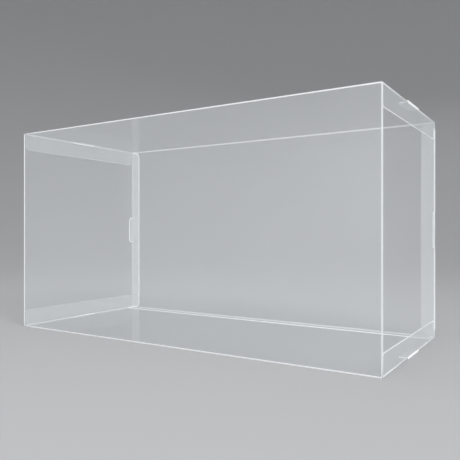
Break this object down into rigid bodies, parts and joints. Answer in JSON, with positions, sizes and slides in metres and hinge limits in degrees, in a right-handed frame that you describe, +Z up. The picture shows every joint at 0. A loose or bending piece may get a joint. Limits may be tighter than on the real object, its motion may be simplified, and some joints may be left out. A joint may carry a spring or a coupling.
{
  "type": "toy display case",
  "caption": "Clear folding case of creased film that protects a boxed toy on display; its end flaps swing out on the front folds and tuck in behind the back panel.",
  "frame": {"origin": "middle of the underside, on the surface that the case stands on", "axes": "+X along the case to the right-hand end, +Y from the front panel to the back panel, +Z up"},
  "size_m": [0.45, 0.1976, 0.24],
  "materials": {
    "clear_film": "clear glossy PET film with bright creases and cut edges"
  },
  "bodies": {
    "sleeve": {"sleeve": "clear_film"},
    "end_flap_right": {"end_flap_right": "clear_film"},
    "end_flap_left": {"end_flap_left": "clear_film"}
  },
  "joints": [
    {"name": "right_end_hinge", "type": "hinge", "parent": "sleeve", "child": "end_flap_right", "pos_m": [0.22475, -0.0985, 0.12], "axis": [0, 0, -1], "range_deg": [0, 120]},
    {"name": "left_end_hinge", "type": "hinge", "parent": "sleeve", "child": "end_flap_left", "pos_m": [-0.22475, -0.0985, 0.12], "axis": [0, 0, 1], "range_deg": [0, 120]}
  ]
}
